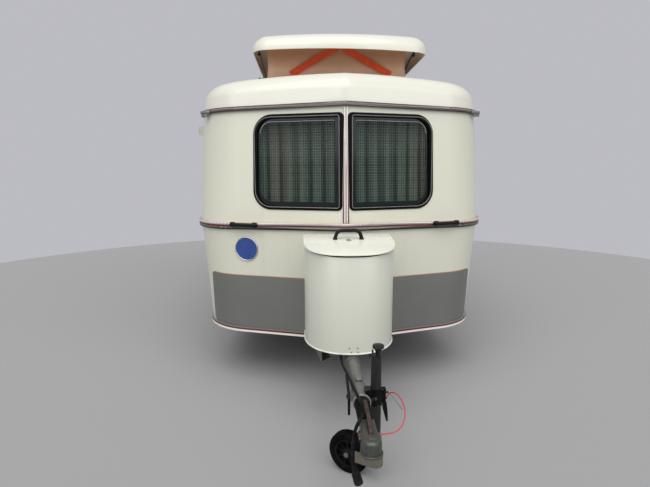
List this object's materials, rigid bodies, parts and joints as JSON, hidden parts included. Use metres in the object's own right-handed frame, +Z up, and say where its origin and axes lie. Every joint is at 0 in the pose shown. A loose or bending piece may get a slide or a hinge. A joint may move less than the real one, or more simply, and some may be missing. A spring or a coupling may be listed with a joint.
{
  "type": "travel caravan",
  "caption": "Small touring caravan with a V-shaped front, raised pop-up roof, entrance door, gas locker, jockey wheel and ball coupling.",
  "frame": {"origin": "on the ground under the middle of the overall length", "axes": "+Z up, -Y towards the coupling, -X the side of the entrance door"},
  "size_m": [2.012, 4.7402, 2.4029],
  "materials": {
    "body_paint": "gloss",
    "door_paint": "gloss",
    "roof_shell": "gloss",
    "plywood": "matte",
    "rail": "satin with a dark red insert",
    "guard": "satin",
    "glass": "clear",
    "rubber": "matte",
    "fabric": "woven plaid",
    "canvas": "coated",
    "strap": "webbing",
    "steel": "galvanised",
    "dark_steel": "satin black",
    "cast": "worn",
    "rust": "rusty",
    "tyre": "rubber",
    "rim": "silver",
    "black_plastic": "matte",
    "blue": "gloss",
    "lamp": "gloss",
    "white_plate": "gloss",
    "red_cable": "gloss"
  },
  "bodies": {
    "trailer": {"front_wall": "body_paint", "rear_wall": "body_paint", "side_wall_right": "body_paint", "side_wall_left": "body_paint", "floor": "plywood", "wheel_boxes": "plywood", "roof_shell": "roof_shell", "hatch_coaming": "rail", "belt_rail": "rail", "gutter_rail": "rail", "sill_rail": "rail", "centre_strips": "rail", "stone_guard": "guard", "front_windows": "glass", "side_windows": "glass", "rear_windows": "glass", "window_seals": "rubber", "curtains": "fabric", "chassis": "steel", "axle_beam": "dark_steel", "drawbar_tube": "steel", "bellows": "rubber", "coupling_head": "cast", "coupling_handle": "rust", "handbrake_lever": "dark_steel", "jockey_clamp": "dark_steel", "gas_locker": "body_paint", "pop_top_canvas": "canvas", "canvas_straps": "strap", "steady_brackets": "steel", "grab_handles": "black_plastic", "round_badge": "blue", "tail_lamps": "lamp", "plate_panel": "white_plate", "wall_hinge_leaves": "black_plastic", "electric_lead": "rubber", "breakaway_cable": "red_cable", "lead_plug": "black_plastic"},
    "wheel_left": {"tyre_left": "tyre", "rim_left": "rim"},
    "wheel_right": {"tyre_right": "tyre", "rim_right": "rim"},
    "door": {"entrance_door": "door_paint", "door_rail": "rail", "door_window": "glass", "door_seal": "rubber", "door_furniture": "black_plastic"},
    "locker_lid": {"gas_locker_lid": "body_paint", "locker_handle": "black_plastic"},
    "jockey_leg": {"jockey_tube": "steel"},
    "jockey_swivel_fork": {"jockey_fork": "steel"},
    "jockey_roller": {"jockey_tyre": "rubber", "jockey_hub": "black_plastic"},
    "pop_roof": {"pop_top": "roof_shell"},
    "arms_a": {"lift_arms_a": "dark_steel"},
    "arms_b": {"lift_arms_b": "dark_steel"},
    "steady_fl": {"steady_front_left": "steel"},
    "steady_fr": {"steady_front_right": "steel"},
    "steady_rl": {"steady_rear_left": "steel"},
    "steady_rr": {"steady_rear_right": "steel"}
  },
  "joints": [
    {"name": "wheel_left_spin", "type": "hinge", "parent": "trailer", "child": "wheel_left", "pos_m": [-0.85, 0.742, 0.289], "axis": [1, 0, 0], "continuous": true},
    {"name": "wheel_right_spin", "type": "hinge", "parent": "trailer", "child": "wheel_right", "pos_m": [0.85, 0.742, 0.289], "axis": [1, 0, 0], "continuous": true},
    {"name": "entrance_door_hinge", "type": "hinge", "parent": "trailer", "child": "door", "pos_m": [-1.006, -0.391, 1.1], "axis": [0, 0, 1], "range_deg": [0, 170]},
    {"name": "gas_locker_lid_hinge", "type": "hinge", "parent": "trailer", "child": "locker_lid", "pos_m": [0, -1.554, 0.966], "axis": [1, 0, 0], "range_deg": [0, 95]},
    {"name": "jockey_lift", "type": "slide", "parent": "trailer", "child": "jockey_leg", "axis": [0, 0, 1], "range_m": [0, 0.1]},
    {"name": "jockey_swivel", "type": "hinge", "parent": "jockey_leg", "child": "jockey_swivel_fork", "pos_m": [0.068, -1.954, 0.2], "axis": [0, 0, 1], "continuous": true},
    {"name": "jockey_wheel_spin", "type": "hinge", "parent": "jockey_swivel_fork", "child": "jockey_roller", "pos_m": [-0.04394, -1.88405, 0.102], "axis": [-0.5299, -0.848, 0], "continuous": true},
    {"name": "pop_top_lift", "type": "slide", "parent": "trailer", "child": "pop_roof", "axis": [0, 0, 1], "range_m": [-0.15, 0], "deforming": ["pop_top_canvas", "canvas_straps"]},
    {"name": "lift_arms_a_hinge", "type": "hinge", "parent": "trailer", "child": "arms_a", "pos_m": [0, -0.178, 2.098], "axis": [1, 0, 0], "range_deg": [-9.67, 0]},
    {"name": "lift_arms_b_hinge", "type": "hinge", "parent": "pop_roof", "child": "arms_b", "pos_m": [0, -0.178, 2.274], "axis": [1, 0, 0], "range_deg": [0, 9.67]},
    {"name": "steady_fl_hinge", "type": "hinge", "parent": "trailer", "child": "steady_fl", "pos_m": [-0.7, -0.203, 0.388], "axis": [1, 0, 0], "range_deg": [0, 58]},
    {"name": "steady_fr_hinge", "type": "hinge", "parent": "trailer", "child": "steady_fr", "pos_m": [0.7, -0.203, 0.388], "axis": [1, 0, 0], "range_deg": [0, 58]},
    {"name": "steady_rl_hinge", "type": "hinge", "parent": "trailer", "child": "steady_rl", "pos_m": [-0.7, 1.61, 0.388], "axis": [-1, 0, 0], "range_deg": [0, 58]},
    {"name": "steady_rr_hinge", "type": "hinge", "parent": "trailer", "child": "steady_rr", "pos_m": [0.7, 1.61, 0.388], "axis": [-1, 0, 0], "range_deg": [0, 58]}
  ],
  "couplings": [
    {"joint": "lift_arms_a_hinge", "follows": "pop_top_lift", "rad_per_m": 1.1195},
    {"joint": "lift_arms_b_hinge", "follows": "pop_top_lift", "rad_per_m": -1.1195}
  ]
}
